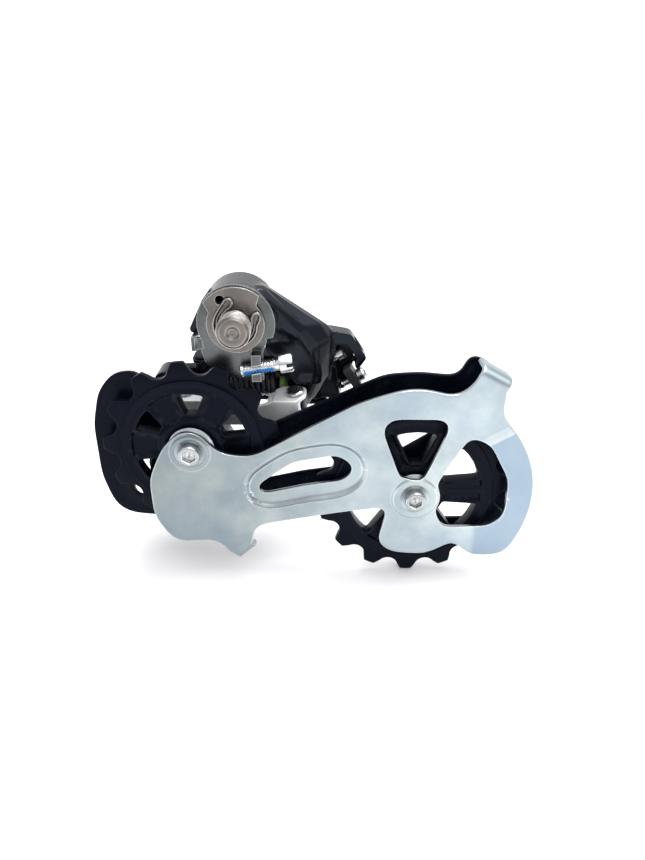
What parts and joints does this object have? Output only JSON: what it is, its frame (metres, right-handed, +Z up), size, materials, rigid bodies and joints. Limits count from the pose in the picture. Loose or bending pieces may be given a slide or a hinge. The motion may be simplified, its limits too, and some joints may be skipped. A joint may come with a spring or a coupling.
{
  "type": "rear bicycle derailleur",
  "caption": "Long-cage rear bicycle derailleur with a slanted parallelogram, sprung cage, toothed guide and tension pulleys and a direct-mount hanger bolt.",
  "frame": {"origin": "mounting-bolt axis at the hanger seat plane, the front face of the B-tension plate", "axes": "+X to the rear of the bicycle, +Y outboard along the mounting bolt, +Z up"},
  "size_m": [0.1393, 0.0433, 0.0973],
  "materials": {
    "zinc": "satin zinc plate",
    "steel": "satin",
    "bright_zinc": "bright zinc plate",
    "black_oxide": "blackened",
    "black_paint": "satin black paint",
    "black_steel": "satin black",
    "black_resin": "moulded",
    "spring_steel": "blackened spring wire",
    "green_nylon": "moulded",
    "bronze": "sintered",
    "grey_resin": "moulded"
  },
  "bodies": {
    "mount": {"mounting_bolt": "steel", "b_tension_plate": "zinc", "stopper_washer": "steel", "retaining_clip": "steel"},
    "b_screw": {"b_tension_screw": "bright_zinc"},
    "bracket": {"bracket_body": "black_paint", "bracket_bush": "bronze", "bracket_torsion_spring": "spring_steel", "bracket_inner_pin": "bright_zinc", "bracket_outer_pin": "black_oxide", "limit_screw_block": "grey_resin"},
    "high_screw": {"limit_screw_high": "bright_zinc"},
    "low_screw": {"limit_screw_low": "bright_zinc"},
    "outer_arm": {"outer_link": "black_paint", "cable_clamp_bolt": "bright_zinc", "cable_clamp_washer": "bright_zinc"},
    "inner_arm": {"inner_link": "bright_zinc", "spring_seat": "green_nylon", "return_spring": "spring_steel"},
    "knuckle": {"cage_knuckle": "black_paint", "cage_inner_pin": "bright_zinc", "cage_outer_pin": "black_oxide"},
    "cage": {"inner_cage_plate": "zinc", "outer_cage_plate": "black_steel", "cage_axle": "steel", "cage_stop_pin": "steel", "cage_torsion_spring": "spring_steel", "guide_bush": "bronze", "tension_bush": "bronze", "guide_bolt": "bright_zinc", "tension_bolt": "bright_zinc", "guide_dust_cap_inner": "zinc", "guide_dust_cap_outer": "zinc", "tension_dust_cap_inner": "zinc", "tension_dust_cap_outer": "zinc"},
    "guide_wheel": {"guide_pulley": "black_resin"},
    "tension_wheel": {"tension_pulley": "black_resin"}
  },
  "joints": [
    {"name": "b_pivot", "type": "hinge", "parent": "mount", "child": "bracket", "pos_m": [0, 0, 0], "axis": [0, 1, 0], "range_deg": [0, 25], "stiffness_Nm_per_rad": 1, "springref_deg": -40.11},
    {"name": "b_tension_feed", "type": "slide", "parent": "mount", "child": "b_screw", "axis": [0.985, 0, 0.1724], "range_m": [-0.004, 0.002]},
    {"name": "parallelogram", "type": "hinge", "parent": "bracket", "child": "outer_arm", "pos_m": [0.0235, 0.0158, -0.0245], "axis": [-0.12, -0.25, 0.9608], "range_deg": [0, 32], "stiffness_Nm_per_rad": 0.5, "springref_deg": -45.84},
    {"name": "inner_arm_pivot", "type": "hinge", "parent": "bracket", "child": "inner_arm", "pos_m": [0.0178, 0.0054, -0.0293], "axis": [-0.12, -0.25, 0.9608], "range_deg": [0, 32]},
    {"name": "knuckle_pivot", "type": "hinge", "parent": "outer_arm", "child": "knuckle", "pos_m": [-0.01267, 0.02312, -0.02711], "axis": [-0.12, -0.25, 0.9608], "range_deg": [-32, 0]},
    {"name": "cage_pivot", "type": "hinge", "parent": "knuckle", "child": "cage", "pos_m": [-0.016, 0, -0.049], "axis": [0, 1, 0], "range_deg": [0, 46], "stiffness_Nm_per_rad": 0.3, "springref_deg": -51.57},
    {"name": "high_limit_feed", "type": "slide", "parent": "bracket", "child": "high_screw", "axis": [0.8415, -0.1002, 0.5309], "range_m": [0, 0.002]},
    {"name": "low_limit_feed", "type": "slide", "parent": "bracket", "child": "low_screw", "axis": [0.8415, -0.1002, 0.5309], "range_m": [0, 0.002]},
    {"name": "guide_spin", "type": "hinge", "parent": "cage", "child": "guide_wheel", "pos_m": [-0.015, -0.006, -0.037], "axis": [0, 1, 0], "continuous": true},
    {"name": "tension_spin", "type": "hinge", "parent": "cage", "child": "tension_wheel", "pos_m": [0.055, -0.006, -0.054], "axis": [0, 1, 0], "continuous": true}
  ],
  "couplings": [
    {"joint": "inner_arm_pivot", "follows": "parallelogram", "ratio": 1},
    {"joint": "knuckle_pivot", "follows": "parallelogram", "ratio": -1}
  ]
}
